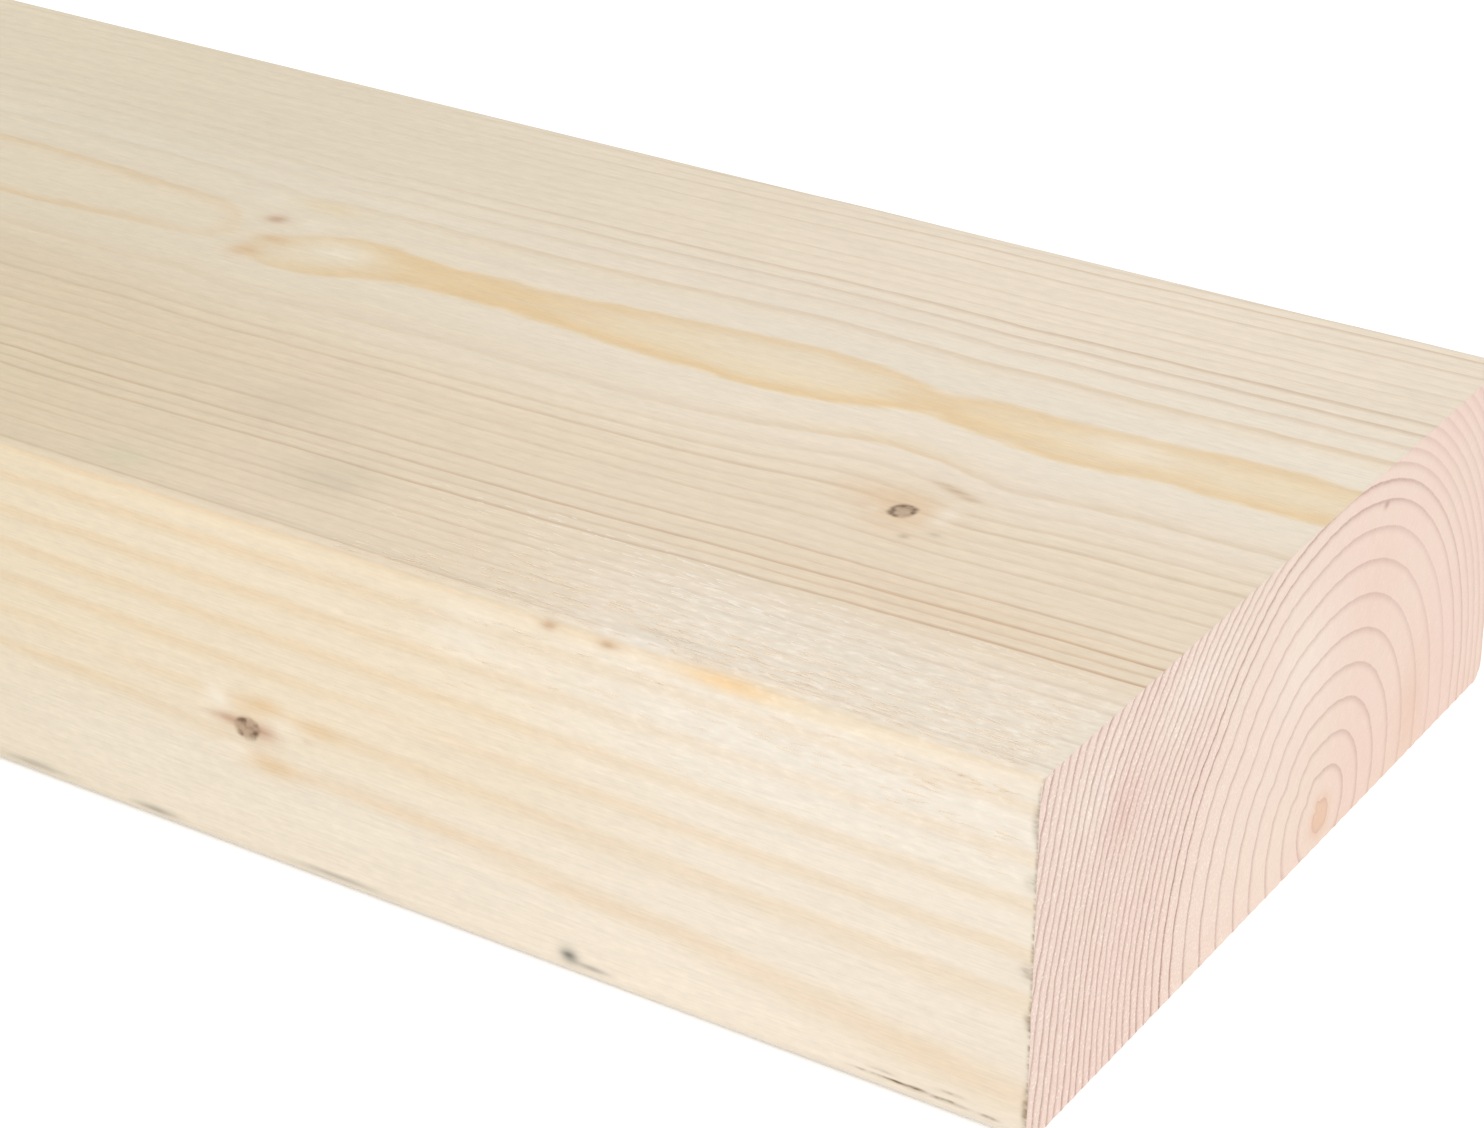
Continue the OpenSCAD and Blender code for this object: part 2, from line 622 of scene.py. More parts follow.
def scattered_knots(stem):
    """Distances to the nearest knot along the rest of the plank, its size, and whether it is there."""
    spacing, fan = 170.0, 0.55
    smallest, spread, luck_needed, absent_size = 1.6, 4.0, 0.45, 0.01
    grows_from, grows_to, shows_from, shows_to = 0.0, 36.0, 8.0, 18.0
    cell = joined(stem.tree, stem.from_end / spacing, stem.angle / fan)
    scatter = add_node(
        stem.tree, "ShaderNodeTexVoronoi", {"Vector": cell, "Scale": 1.0}, voronoi_dimensions="2D"
    )
    seat_along, seat_turn, _ = axes(Field(stem.tree, scatter.outputs["Position"]))
    luck, luck_size, _ = axes(Field(stem.tree, scatter.outputs["Color"]))
    # A branch starts thin at the pith, so a face that passes close by shows little of it
    there = luck.math("GREATER_THAN", luck_needed) * stem.from_end.ramp(*KNOTS_FROM)
    there = there * stem.radius.ramp(shows_from, shows_to)
    grown = stem.radius.ramp(grows_from, grows_to) * there
    size = (luck_size * luck_size).times(spread, smallest).times(grown, absent_size)
    along = stem.from_end - seat_along * spacing
    beside = (stem.angle - seat_turn * fan) * stem.radius
    return along, beside, size, there


def knot_fields(stem):
    """Masks of all the knots, and how far the scattered ones push the rings outwards."""
    push, darkness = 1.4, 0.9
    long_reach, wide_reach = (3.0, 4.0), (2.0, 3.0)
    knots = []
    for distance, turn, size, dark in NEAR_KNOTS:
        beside = (stem.angle - math.radians(turn)) * stem.radius
        knots.append(knot_marks(stem.from_end - distance, beside, size, dark, stem.ripple))
    along, beside, size, there = scattered_knots(stem)
    knots.append(knot_marks(along, beside, size, there * darkness, stem.ripple))
    masks = knots[0]
    for marks in knots[1:]:
        masks = {name: masks[name].most(field) for name, field in marks.items()}
    bulge = (along / size.times(*long_reach)).bell(0.0, 1.0)
    bulge = bulge * (beside / size.times(*wide_reach)).bell(0.0, 1.0)
    return masks, bulge * there * push


def grown_radius(stem, sizes):
    """Ring radius at a place: the stem tapers, its rings waver, and they run flatter by the near side."""
    taper_from, taper = 240.0, 0.005
    waver_seen, waver_unseen, ripple_reach = 0.15, 0.7, 0.09
    flat_from, flat_full, flat_ends, flat_to = -50.0, -69.0, 330.0, 190.0
    waver = noise(scaled(stem.spot, *WAVER), 2.0) * stem.unseen.times(waver_unseen, waver_seen)
    beside = stem.off_y.ramp(flat_from, flat_full) * stem.from_end.ramp(flat_ends, flat_to)
    flat = side_rings(stem.from_end, stem.across, stem.height, sizes)
    grown = stem.radius.towards(flat, beside) + stem.ripple.times(ripple_reach, waver)
    grown = (stem.from_end - taper_from).most(0.0).times(taper, grown)
    turned = joined(stem.tree, stem.from_end, stem.angle * math.degrees(1.0))
    for distance, turn, push, along, wide in RING_BULGES:
        grown = mark(turned, (distance, turn, 0.0), (along, wide, 1.0)).times(push, grown)
    return grown


def year_fields(grown, sizes):
    """Summer wood of each year: a border that fades inwards, and more quickly outwards.

    Line is its dark part, band the same seen on the near side, and tone its soft part."""
    line_outside, tone_inside, tone_outside = 0.18, 1.1, 0.20
    number, width = ring_number(grown, sizes)
    share = number.math("FRACT")
    inside = share.inverse() * width
    outside = share * width
    old = grown.ramp(*OLD_RINGS)
    band_inside = old.times(0.28, 0.34)
    band_outside = old.times(0.26, 0.14)
    border = (number + 0.5).math("FLOOR") + YEAR_SEED
    return {
        "line": inside.ramp(sizes.summer_wood / MM, 0.0).most(outside.ramp(line_outside, 0.0)),
        "band": inside.ramp(band_inside, 0.0).most(outside.ramp(band_outside, 0.0)),
        "tone": inside.ramp(tone_inside, 0.0).most(outside.ramp(tone_outside, 0.0)),
        "year": result(grown.tree, "ShaderNodeTexWhiteNoise", {"W": border}, noise_dimensions="1D"),
    }


def wood_fields(spot, sizes):
    """The wood at a place of the solid plank: rings about the pith, and knots that leave it.

    The same fields paint the surface and raise its relief. Lengths are in millimetres."""
    stem = Stem(spot, sizes)
    masks, push = knot_fields(stem)
    grown = grown_radius(stem, sizes) + push
    return {
        **year_fields(grown, sizes),
        "radius": grown,
        "off_y": stem.off_y,
        "off_z": stem.off_z,
        "true_radius": stem.radius,
        **masks,
    }


def end_group(tree, outputs):
    """Gives a shader group its named outputs."""
    for name in outputs:
        kind = "NodeSocketVector" if name == "Spot" else "NodeSocketFloat"
        tree.interface.new_socket(name=name, in_out="OUTPUT", socket_type=kind)
    out = tree.nodes.new("NodeGroupOutput")
    for name, field in outputs.items():
        tree.links.new(field.socket, out.inputs[name])
    return tree


def rings_group(sizes):
    """Shader group with the growth rings and knots at a point of the wood."""
    tree = bpy.data.node_groups.new("Growth Rings", "ShaderNodeTree")
    place = result(tree, "ShaderNodeAttribute", output="Vector", attribute_name="solid_place")
    spot = plank_place(place, sizes)
    wood = wood_fields(spot, sizes)
    normal = result(tree, "ShaderNodeNewGeometry", output="Normal")
    _, normal_y, normal_z = axes(normal)
    facing = (wood["off_y"] * normal_y + wood["off_z"] * normal_z) / (wood["true_radius"] + 0.01)
    names = ("Line", "Band", "Tone", "Year", "Radius", "Knot", "Knot Rim", "Knot Halo")
    outputs = {name: wood[name.lower().replace(" ", "_")] for name in names}
    outputs["Facing"] = facing.math("ABSOLUTE")
    outputs["Spot"] = spot
    return end_group(tree, outputs)


def fibre_group():
    """Shader group with the fine fibres that run along the plank."""
    tree = bpy.data.node_groups.new("Wood Fibres", "ShaderNodeTree")
    place = result(tree, "ShaderNodeTexCoord", output="Object")
    outputs = {
        "Fine": noise(scaled(place, *FINE_FIBRES), 1.0),
        "Speckle": noise(scaled(place, *SPECKLE), 2.0, 0.6),
        "Broad": noise(scaled(place, *BROAD_FIBRES), 3.0, 0.6),
        "Cloud": noise(scaled(place, *CLOUD), 1.0),
    }
    return end_group(tree, outputs)


def shared_fibres():
    """The fibre group, made once."""
    return bpy.data.node_groups.get("Wood Fibres") or fibre_group()


def new_material(name):
    """Empty node material with its shader."""
    material = bpy.data.materials.new(name)
    material.use_nodes = True
    tree = material.node_tree
    tree.nodes.clear()
    shader = tree.nodes.new("ShaderNodeBsdfPrincipled")
    out = tree.nodes.new("ShaderNodeOutputMaterial")
    tree.links.new(shader.outputs[0], out.inputs["Surface"])
    return material, tree, shader


def add_bump(tree, shader, height, strength, distance):
    """Fine bump on a shader, with its distance in millimetres."""
    inputs = {"Strength": strength, "Distance": distance * MM, "Height": height}
    bump = add_node(tree, "ShaderNodeBump", inputs)
    tree.links.new(bump.outputs[0], shader.inputs["Normal"])


def use_group(tree, group):
    """Outputs of a shader group placed in a material, by name."""
    node = tree.nodes.new("ShaderNodeGroup")
    node.node_tree = group
    return {socket.name: Field(tree, socket) for socket in node.outputs}


def top_marks(marks):
    """Those marks that reach the wide face on top."""
    return [entry for entry in marks if entry[1][2] > TOP_FROM]


def side_marks(marks):
    """Those marks that reach the near side."""
    return [entry for entry in marks if entry[1][1] < SIDE_TO]


class PlanedFace:
    """Fields that the steps of painting a planed face share."""

    def __init__(self, tree, rings, fibres):
        self.wood = use_group(tree, rings)
        self.fibre = use_group(tree, fibres)
        self.spot = self.wood["Spot"]
        self.from_end, self.across, self.height = axes(self.spot)
        self.near_side = self.across.ramp(*NEAR_SIDE)
        self.far_half = self.across.ramp(*FAR_HALF)
        self.faded = self.far_half * self.from_end.ramp(*FADED)
        self.woolly = zone(self.spot, *WOOL) * self.near_side.times(-0.6, 1.0)
        self.ragged = self.fibre["Broad"].times(0.8, 0.9)


def planed_ground(face, colours):
    """Pale wood of wide rings, denser wood of narrow ones, and a warmer tone on the near side."""
    worn_share, sunned_share = 0.6, 0.17
    paler = summed(1.0, (face.far_half, -0.5), (face.near_side, -0.8), (face.woolly, -0.3))
    dense = face.wood["Radius"].ramp(*NARROW_RINGS) * paler
    worn = face.near_side * face.height.ramp(*TOP_EDGE)
    ground = blended(dense.most(worn * worn_share), colours.spring, colours.dense)
    sunned = face.near_side * face.height.ramp(*SUNNED_HEIGHT) * face.from_end.ramp(*SUNNED_ALONG)
    return blended(sunned * sunned_share, ground, colours.straw)


def crossing_lines(face):
    """Strength of the ring lines that a face cuts across: strong and weak years, and fainter stripes."""
    quiet_middle, quiet_reach, quiet_share = 50.0, 10.0, 0.65
    fresh_reach, weakest_year, line_share, tone_share = 80.0, 0.10, 0.72, 0.04
    quiet = face.across.bell(quiet_middle, quiet_reach) * quiet_share
    for start, full, share in QUIET_STRIPES:
        quiet = face.across.ramp(start, full).times(share, quiet)
    fresh = face.from_end.bell(0.0, fresh_reach)
    year = face.wood["Year"]
    strength = (year * year + weakest_year) * quiet.inverse() * fresh.times(0.5, 0.5)
    strength = strength * summed(1.0, (face.faded, -0.65), (face.woolly, -0.4))
    return summed(0.0, (face.wood["Line"] * strength, line_share), (face.wood["Tone"], tone_share))


def summer_wood(face, ground, colours):
    """Ground with brown lines where the face cuts across rings, and honey bands where it runs along one."""
    gap_middle, gap_reach, gap_share = 156.0, 15.0, -0.65
    flame_share, flame_loss, old_band, young_band = 0.36, -0.85, 0.22, 0.10
    wood = face.wood
    broad, cloud = face.fibre["Broad"], face.fibre["Cloud"]
    along_ring = wood["Facing"].ramp(*ALONG_RING).most(face.near_side)
    summer = blended(along_ring, colours.brown, colours.honey)
    young = wood["Radius"].ramp(*YOUNG_RINGS)
    patchy = summed(1.0, (broad, 0.4), (cloud, 0.6))
    flame = wood["Tone"] * young * along_ring * patchy
    flame = flame * face.from_end.ramp(*FLAME_END).times(flame_loss, 1.0)
    running = wood["Band"] * young.times(young_band, old_band)
    running = running * face.from_end.bell(gap_middle, gap_reach).times(gap_share, 1.0)
    broken = summed(0.95, (broad, 0.35), (cloud, 0.4))
    colour = blended(flame * flame_share, ground, colours.straw)
    return blended(crossing_lines(face).towards(running, along_ring) * broken, colour, summer)


def with_knots(face, colour, chosen, colours):
    """Colour with the knots, and with the wood that they bent and stained."""
    halo_change, halo_share = 0.3, 0.4
    crack_change, crack_share, dark_share = 2.6, 0.40, 0.7
    wood = face.wood
    halo = wood["Knot Halo"] * face.fibre["Cloud"].times(halo_change, halo_share)
    colour = blended(halo, colour, colours.knot_halo)
    colour = stained(colour, face.spot, chosen(KNOT_WOOD), colours, face.ragged)
    mottle = noise(scaled(face.spot, *MOTTLE), 2.0)
    knot = blended(mottle.ramp(0.0, 0.4) * dark_share, colours.knot, colours.knot_rim)
    colour = blended(wood["Knot"], colour, knot)
    cracks = wood["Knot Rim"] * mottle.times(crack_change, crack_share).most(0.0)
    return blended(cracks, colour, colours.knot_rim)


def with_marks(face, colour, chosen, colours):
    """Colour with the handling marks, a painted shade line by the top's near edge, painted shade in the
    torn slivers and along the cut end's near edge, and painted light that makes the lower edge pale.
    """
    least_tear, edge_share, lit_edge_share = 0.3, 0.45, 0.6
    edge_along, edge_across = 0.3, 1.2
    speckle = face.fibre["Speckle"]
    sliver_speckle = speckle.times(1.8, 0.95)
    edge_speckle = speckle.times(2.6, 0.80).most(0.0)
    colour = stained(colour, face.spot, chosen(MARKS), colours, face.ragged)
    # Painted shade inside the torn slivers, which the relief also sinks
    tears = [(name, centre, reach, depth + least_tear) for name, centre, reach, depth in chosen(TEARS)]
    colour = stained(colour, face.spot, tears, colours, sliver_speckle)
    arris = face.from_end.bell(0.0, edge_along) * face.across.bell(0.0, edge_across)
    # Painted shade in the chips along the cut end's near edge
    colour = blended(arris * edge_speckle * edge_share, colour, colours.tear)
    # Painted light: the near side's lower edge is painted pale where shade falls by the floor
    pale = face.near_side * face.height.ramp(*LIT_LOWER_EDGE)
    return blended(pale * lit_edge_share, colour, colours.fuzz_and_lit_edge)


def with_painted_falloff(face, colour, sizes, colours):
    """Colour darkened and greyed by painted shade away from the ends, more so on the near part of the top,
    and paler on the far half.
    """
    faded_share = 0.16
    nearest_end = face.from_end.least(sizes.length / MM - face.from_end)
    falloff_across = summed(0.98, (face.across.ramp(*FALLOFF_ACROSS), 0.25), (face.near_side, -0.3))
    # Painted shade: the wood darkens away from the ends as the light falls off
    falloff_shade = nearest_end.ramp(*FALLOFF_ALONG) * falloff_across
    colour = blended(face.faded * faded_share, colour, colours.far_tint_and_shade)
    return blended(falloff_shade, colour, blended(falloff_shade, colour, colours.far_tint_and_shade, "MULTIPLY"))


def with_fibres(face, colour, colours):
    """Colour with the pale wool by the cut end, and uneven from fibre to fibre."""
    wool_share, ground_share = 0.36, 0.22
    fibre = face.fibre
    speckle = fibre["Speckle"]
    wool = (speckle * 0.9).ramp(0.05, 0.45) * face.woolly
    paler = summed(0.0, (wool, wool_share), (face.woolly, ground_share))
    colour = blended(paler, colour, colours.fuzz_and_lit_edge)
    shade = summed(0.985, (fibre["Fine"], 0.06), (fibre["Broad"], 0.05), (fibre["Cloud"], 0.04))
    return shaded(colour, summed(shade, (speckle, face.woolly.times(0.05, 0.07))))


def planed_material(name, chosen, sizes, colours, rings, fibres):
    """Planed long grain, with those marks that belong on its faces."""
    material, tree, shader = new_material(name)
    face = PlanedFace(tree, rings, fibres)
    colour = planed_ground(face, colours)
    colour = summer_wood(face, colour, colours)
    colour = with_knots(face, colour, chosen, colours)
    colour = with_marks(face, colour, chosen, colours)
    colour = with_painted_falloff(face, colour, sizes, colours)
    colour = with_fibres(face, colour, colours)
    tree.links.new(colour.socket, shader.inputs["Base Color"])
    rough = face.fibre["Broad"].times(0.06, 0.62)
    tree.links.new(rough.socket, shader.inputs["Roughness"])
    shader.inputs["Specular IOR Level"].default_value = 0.25
    add_bump(tree, shader, face.fibre["Fine"], strength=0.35, distance=0.08)
    return material


def sawn_ground(spot, far_half, colours):
    """Pale and rosy patches of the sawn ends, with the marks on them."""
    middle, middle_reach, far_share = 56.0, 22.0, 0.09
    _, across, _ = axes(spot)
    patches = noise(scaled(spot, *END_PATCHES), 3.0, 0.6).ramp(-0.3, 0.3)
    rosy = summed(0.6, (patches, 0.5), (across.bell(middle, middle_reach), -0.7)).most(0.0)
    colour = blended(rosy, colours.end_pale, colours.end_rosy)
    colour = blended(far_half * far_share, colour, colours.pith)
    return stained(colour, spot, END_MARKS, colours)


def sawn_lines(wood, near_half, faint, grain):
    """Strength of the ring lines on an end.

    They are crisp on the near half and soft on the far half, with a dark pair where the growth slowed."""
    slowed_radius, slowed_reach = 40.3, 1.9
    slowed = wood["Radius"].bell(slowed_radius, slowed_reach)
    line = wood["Line"] * wood["Year"].times(0.4, 0.6)
    line = line * summed(0.10, (near_half, 0.54), (slowed, 0.34))
    soft = wood["Tone"] * near_half.times(-0.13, 0.26)
    return (line + soft) * grain.times(1.1, 1.0) * faint.times(-0.45, 1.0)


def sawn_material(colours, rings):
    """Sawn end grain of the two ends."""
    material, tree, shader = new_material("sawn_end_grain")
    wood = use_group(tree, rings)
    spot = wood["Spot"]
    _, across, height = axes(spot)
    pith_share = 0.66
    near_half = across.ramp(*END_NEAR_HALF)
    grain = noise(scaled(spot, *END_GRAIN), 2.0, 0.7)
    slanted = joined(tree, 0.0, across + height, across - height)
    scratch = noise(scaled(slanted, *END_SCRATCH), 2.0)
    colour = sawn_ground(spot, across.ramp(*END_FAR_HALF), colours)
    lines = sawn_lines(wood, near_half, across.ramp(*END_FAINT), grain)
    colour = blended(lines, colour, colours.end_line)
    colour = blended(wood["Radius"].ramp(*PITH) * pith_share, colour, colours.pith)
    chalk = summed(0.0, (grain, 0.9), (scratch, 0.5)).ramp(0.05, 0.50) * near_half.times(0.55, 0.12)
    colour = blended(chalk, colour, colours.fuzz_and_lit_edge)
    shade = summed(0.985, (scratch, 0.05), (grain, near_half.times(0.12, 0.04)))
    colour = shaded(colour, shade)
    tree.links.new(colour.socket, shader.inputs["Base Color"])
    shader.inputs["Roughness"].default_value = 0.8
    shader.inputs["Specular IOR Level"].default_value = 0.2
    add_bump(tree, shader, grain + scratch, strength=0.3, distance=0.1)
    return material


def crowded(share, rows, size, edge):
    """Place of a row of the mesh across the section, with EDGE_ROWS rows in each eased edge."""
    border = EDGE_ROWS / (rows - 1)

    def part(low, high, length):
        inputs = {"Value": share, "From Min": low, "From Max": high, "To Min": 0.0, "To Max": length}
        return result(share.tree, "ShaderNodeMapRange", inputs)

    flat = part(border, 1.0 - border, size - edge * 2.0)
    return part(0.0, border, edge) + flat + part(1.0 - border, 1.0, edge)


def stored(tree, geometry, name, value):
    """Geometry with a vector kept on its points under a name."""
    node = add_node(
        tree,
        "GeometryNodeStoreNamedAttribute",
        {"Geometry": geometry, "Name": name, "Value": value},
        data_type="FLOAT_VECTOR",
        domain="POINT",
    )
    return Field(tree, node.outputs["Geometry"])


def placed(tree, geometry, key, value):
    """Geometry whose points are moved to a position or by an offset."""
    return result(tree, "GeometryNodeSetPosition", {"Geometry": geometry, key: value})


def section_place(tree, size):
    """Place of each lattice point on the plank, eased along its edges."""
    lattice = result(tree, "GeometryNodeInputPosition")
    along, across, through = (part + 0.5 for part in axes(lattice))

    # Rows crowd towards both ends, where the plank is looked at most closely
    turn = (along * math.tau).math("SINE") * (END_CROWDING / math.tau)
    x = (along - turn - 0.5) * size["Length"]
    y = crowded(across, ROWS_ACROSS, size["Width"], size["Edge Radius"]) - size["Width"] * 0.5
    z = crowded(through, ROWS_THROUGH, size["Thickness"], size["Edge Radius"])

    # Each square corner of the section is drawn in to a quarter round
    half = size["Width"] * 0.5 - size["Edge Radius"]
    inner_y = y.least(half).most(-half)
    inner_z = z.least(size["Thickness"] - size["Edge Radius"]).most(size["Edge Radius"])
    out_y = y - inner_y
    out_z = z - inner_z
    reach = (out_y * out_y + out_z * out_z).math("SQRT").most(1e-9)
    draw = out_y.math("ABSOLUTE").most(out_z.math("ABSOLUTE")) / reach
    return joined(tree, x, inner_y + out_y * draw, inner_z + out_z * draw)


def relief_depth(tree, sizes, size):
    """How far each point of the surface lies below the full section."""
    end_turn, edge_reach = 0.4, 1.0
    spot = plank_place(result(tree, "GeometryNodeInputPosition"), sizes)
    wood = wood_fields(spot, sizes)
    from_end, across, height = axes(spot)
    normal_x = axes(result(tree, "GeometryNodeInputNormal"))[0].math("ABSOLUTE")
    at_end = normal_x.math("GREATER_THAN", end_turn)
    low = (wood["line"] + wood["knot"] + at_end).least(1.0).inverse() * size["Relief"]
    wave = noise(scaled(spot, *PLANER_WAVE), 2.0).times(0.5, 0.5)
    lean_across, lean_up = SAW_LEAN
    saw = (across * lean_across + height * lean_up) * (math.tau / SAW_PITCH)
    ridges = saw.math("SINE").times(0.5, 0.5)
    sunk = low + wave * size["Relief"] + at_end * (ridges * size["Saw Depth"])
    for _, centre, reach, depth in TEARS:
        sunk = mark(spot, centre, reach).times(depth * MM, sunk)
    chips = noise(scaled(spot, *CHIPS), 2.0).ramp(0.05, 0.5)
    arris = from_end.bell(0.0, edge_reach) * across.bell(0.0, edge_reach)
    return summed(sunk, (arris * chips, CHIP_DEPTH * MM), (zone(spot, *WOOL_SUNK), WOOL_DEPTH * MM))


def plank_tree(sizes, top_grain, side_grain, end_grain):
    """Geometry tree of the plank: a box of fine rows, eased along its edges, with the wood's relief."""
    tree = bpy.data.node_groups.new("Plank Form", "GeometryNodeTree")
    tree.interface.new_socket(name="Geometry", in_out="OUTPUT", socket_type="NodeSocketGeometry")
    inputs = {}
    for name in ("Length", "Width", "Thickness", "Edge Radius", "Relief", "Saw Depth"):
        inputs[name] = tree.interface.new_socket(
            name=name, in_out="INPUT", socket_type="NodeSocketFloat"
        )
    group_in = tree.nodes.new("NodeGroupInput")
    size = {name: Field(tree, group_in.outputs[name]) for name in inputs}

    rows = {"Vertices X": ROWS_ALONG, "Vertices Y": ROWS_ACROSS, "Vertices Z": ROWS_THROUGH}
    body = result(tree, "GeometryNodeMeshCube", {"Size": (1.0, 1.0, 1.0), **rows}, output="Mesh")
    body = stored(tree, body, "lattice", result(tree, "GeometryNodeInputPosition"))
    body = placed(tree, body, "Position", section_place(tree, size))
    body = stored(tree, body, "solid_place", result(tree, "GeometryNodeInputPosition"))
    normal = result(tree, "GeometryNodeInputNormal")
    inward = -relief_depth(tree, sizes, size)
    offset = result(tree, "ShaderNodeVectorMath", {0: normal, "Scale": inward}, operation="SCALE")
    body = placed(tree, body, "Offset", offset)

    crease, steep = math.radians(50), 0.7
    face_x, face_y, _ = axes(result(tree, "GeometryNodeInputNormal"))
    sharp = result(tree, "GeometryNodeInputMeshEdgeAngle").math("GREATER_THAN", crease)
    smooth = "GeometryNodeSetShadeSmooth"
    body = result(tree, smooth, {"Geometry": body, "Shade Smooth": True}, domain="FACE")
    crisp = {"Geometry": body, "Selection": sharp, "Shade Smooth": False}
    body = result(tree, smooth, crisp, domain="EDGE")
    body = result(tree, "GeometryNodeRealizeInstances", (body,))
    body = result(tree, "GeometryNodeSetMaterial", {"Geometry": body, "Material": top_grain})
    near_side = {"Selection": face_y.math("LESS_THAN", -steep), "Material": side_grain}
    at_end = face_x.math("ABSOLUTE").math("GREATER_THAN", steep)
    sawn = {"Selection": at_end, "Material": end_grain}
    for part in (near_side, sawn):
        body = result(tree, "GeometryNodeSetMaterial", {"Geometry": body, **part})
    out = tree.nodes.new("NodeGroupOutput")
    tree.links.new(body.socket, out.inputs["Geometry"])
    return tree, {name: socket.identifier for name, socket in inputs.items()}


def random_value(tree, low, high, seed):
    """Random number for each point, the same on every run."""
    node = add_node(tree, "FunctionNodeRandomValue", {2: low, 3: high, 8: seed}, data_type="FLOAT")
    return Field(tree, node.outputs[1])


def fibre_tree(sizes, material):
    """Geometry tree of the woolly fibres that the planer raised by the near top edge."""
    tree = bpy.data.node_groups.new("Raised Fibres", "GeometryNodeTree")
    tree.interface.new_socket(name="Geometry", in_out="OUTPUT", socket_type="NodeSocketGeometry")
    inputs = {"Count": "NodeSocketInt", "Length": "NodeSocketFloat", "Thickness": "NodeSocketFloat"}
    sockets = {
        name: tree.interface.new_socket(name=name, in_out="INPUT", socket_type=kind)
        for name, kind in inputs.items()
    }
    group_in = tree.nodes.new("NodeGroupInput")
    size = {name: Field(tree, group_in.outputs[name]) for name in inputs}

    # They crowd towards the edge and the cut end: most on the top face, and some on the near side
    crowding, share_on_top, sunk = 1.4, 0.84, 1.3
    along_from, along_reach = 4.4 * MM, 88 * MM
    across_from, across_reach = 2.0 * MM, 20 * MM
    drop_from, drop_reach = 2.2 * MM, 11 * MM
    along = random_value(tree, 0.0, 1.0, 11).math("POWER", crowding).times(along_reach, along_from)
    on_top = random_value(tree, 0.0, 1.0, 12).math("LESS_THAN", share_on_top)
    away = random_value(tree, 0.0, 1.0, 13).math("POWER", crowding)
    depth = size["Thickness"] * sunk
    across = away.times(across_reach, across_from).towards(depth, on_top.inverse())
    drop = away.times(drop_reach, drop_from).towards(depth, on_top)
    x = sizes.length / 2 - along
    place = joined(tree, x, across - sizes.width / 2, sizes.thickness - drop)
    points = result(tree, "GeometryNodePoints", {"Count": size["Count"], "Position": place})

    # A sliver lies along the grain, turned a little within its face
    shape = {"Vertices": 3, "Radius Top": 0.0, "Radius Bottom": size["Thickness"]}
    shape["Depth"] = size["Length"]
    sliver = result(tree, "GeometryNodeMeshCone", shape, output="Mesh", fill_type="TRIANGLE_FAN")
    most_swing, shortest, longest = 0.16, 0.4, 1.3
    swing = random_value(tree, -most_swing, most_swing, 14)
    turn = joined(tree, 0.0, swing * on_top.inverse() + math.pi / 2, swing * on_top)
    laid = {
        "Points": points,
        "Instance": sliver,
        "Rotation": turn,
        "Scale": joined(tree, 1.0, 1.0, random_value(tree, shortest, longest, 15)),
    }
    body = result(tree, "GeometryNodeInstanceOnPoints", laid)
    body = result(tree, "GeometryNodeRealizeInstances", (body,))
    body = result(tree, "GeometryNodeSetMaterial", {"Geometry": body, "Material": material})
    out = tree.nodes.new("NodeGroupOutput")
    tree.links.new(body.socket, out.inputs["Geometry"])
    return tree, {name: socket.identifier for name, socket in sockets.items()}


def fibre_material(colours, fibres):
    """Pale torn fibre."""
    material, tree, shader = new_material("torn_fibre")
    fibre = use_group(tree, fibres)
    colour = blended(fibre["Cloud"].ramp(-0.4, 0.4), colours.fuzz_and_lit_edge, colours.dense)
    tree.links.new(colour.socket, shader.inputs["Base Color"])
    shader.inputs["Roughness"].default_value = 0.7
    return material


def made_mesh(name, tree, sockets, values):
    """Plain mesh object that a geometry tree makes from its named sizes."""
    maker = bpy.data.objects.new(name + "_maker", bpy.data.meshes.new(name + "_maker"))
    bpy.context.scene.collection.objects.link(maker)
    modifier = maker.modifiers.new("Form", "NODES")
    modifier.node_group = tree
    for key, value in values.items():
        modifier[sockets[key]] = value
    graph = bpy.context.evaluated_depsgraph_get()
    mesh = bpy.data.meshes.new_from_object(maker.evaluated_get(graph), depsgraph=graph)
    mesh.name = name
    maker.modifiers.remove(modifier)
    bpy.data.objects.remove(maker)
    piece = bpy.data.objects.new(name, mesh)
    bpy.context.scene.collection.objects.link(piece)
    return piece


def add_bake_map(mesh):
    """Own map of the plank for baking: a strip for each long face, as dense as the rows, and both ends.

    Each strip is given as its left, right, low and high border on the square map."""
    strips = {
        (2, 1): (0.004, 0.996, 0.700, 0.996),
        (2, 0): (0.004, 0.996, 0.480, 0.690),
        (1, 0): (0.004, 0.996, 0.334, 0.470),
        (1, 1): (0.004, 0.996, 0.206, 0.324),
        (0, 1): (0.004, 0.494, 0.006, 0.194),
        (0, 0): (0.506, 0.996, 0.006, 0.194),
    }
    lattice = np.empty(len(mesh.vertices) * 3, dtype=np.float32)
    mesh.attributes["lattice"].data.foreach_get("vector", lattice)
    corner_points = np.empty(len(mesh.loops), dtype=np.int32)
    mesh.loops.foreach_get("vertex_index", corner_points)
    corners = lattice.reshape(-1, 3)[corner_points].reshape(-1, 4, 3) + 0.5
    flat_axis = np.ptp(corners, axis=1).argmin(axis=1)
    flat_side = (corners.mean(axis=1)[np.arange(len(corners)), flat_axis] > 0.5).astype(int)
    places = np.empty((len(corners), 4, 2), dtype=np.float32)
    for (axis, side), (left, right, low, high) in strips.items():
        first, second = [other for other in range(3) if other != axis]
        chosen = (flat_axis == axis) & (flat_side == side)
        places[chosen, :, 0] = left + (right - left) * corners[chosen][:, :, first]
        places[chosen, :, 1] = low + (high - low) * corners[chosen][:, :, second]
    layer = mesh.uv_layers.new(name="OFBake")
    layer.uv.foreach_set("vector", places.ravel())
    mesh.attributes.remove(mesh.attributes["lattice"])


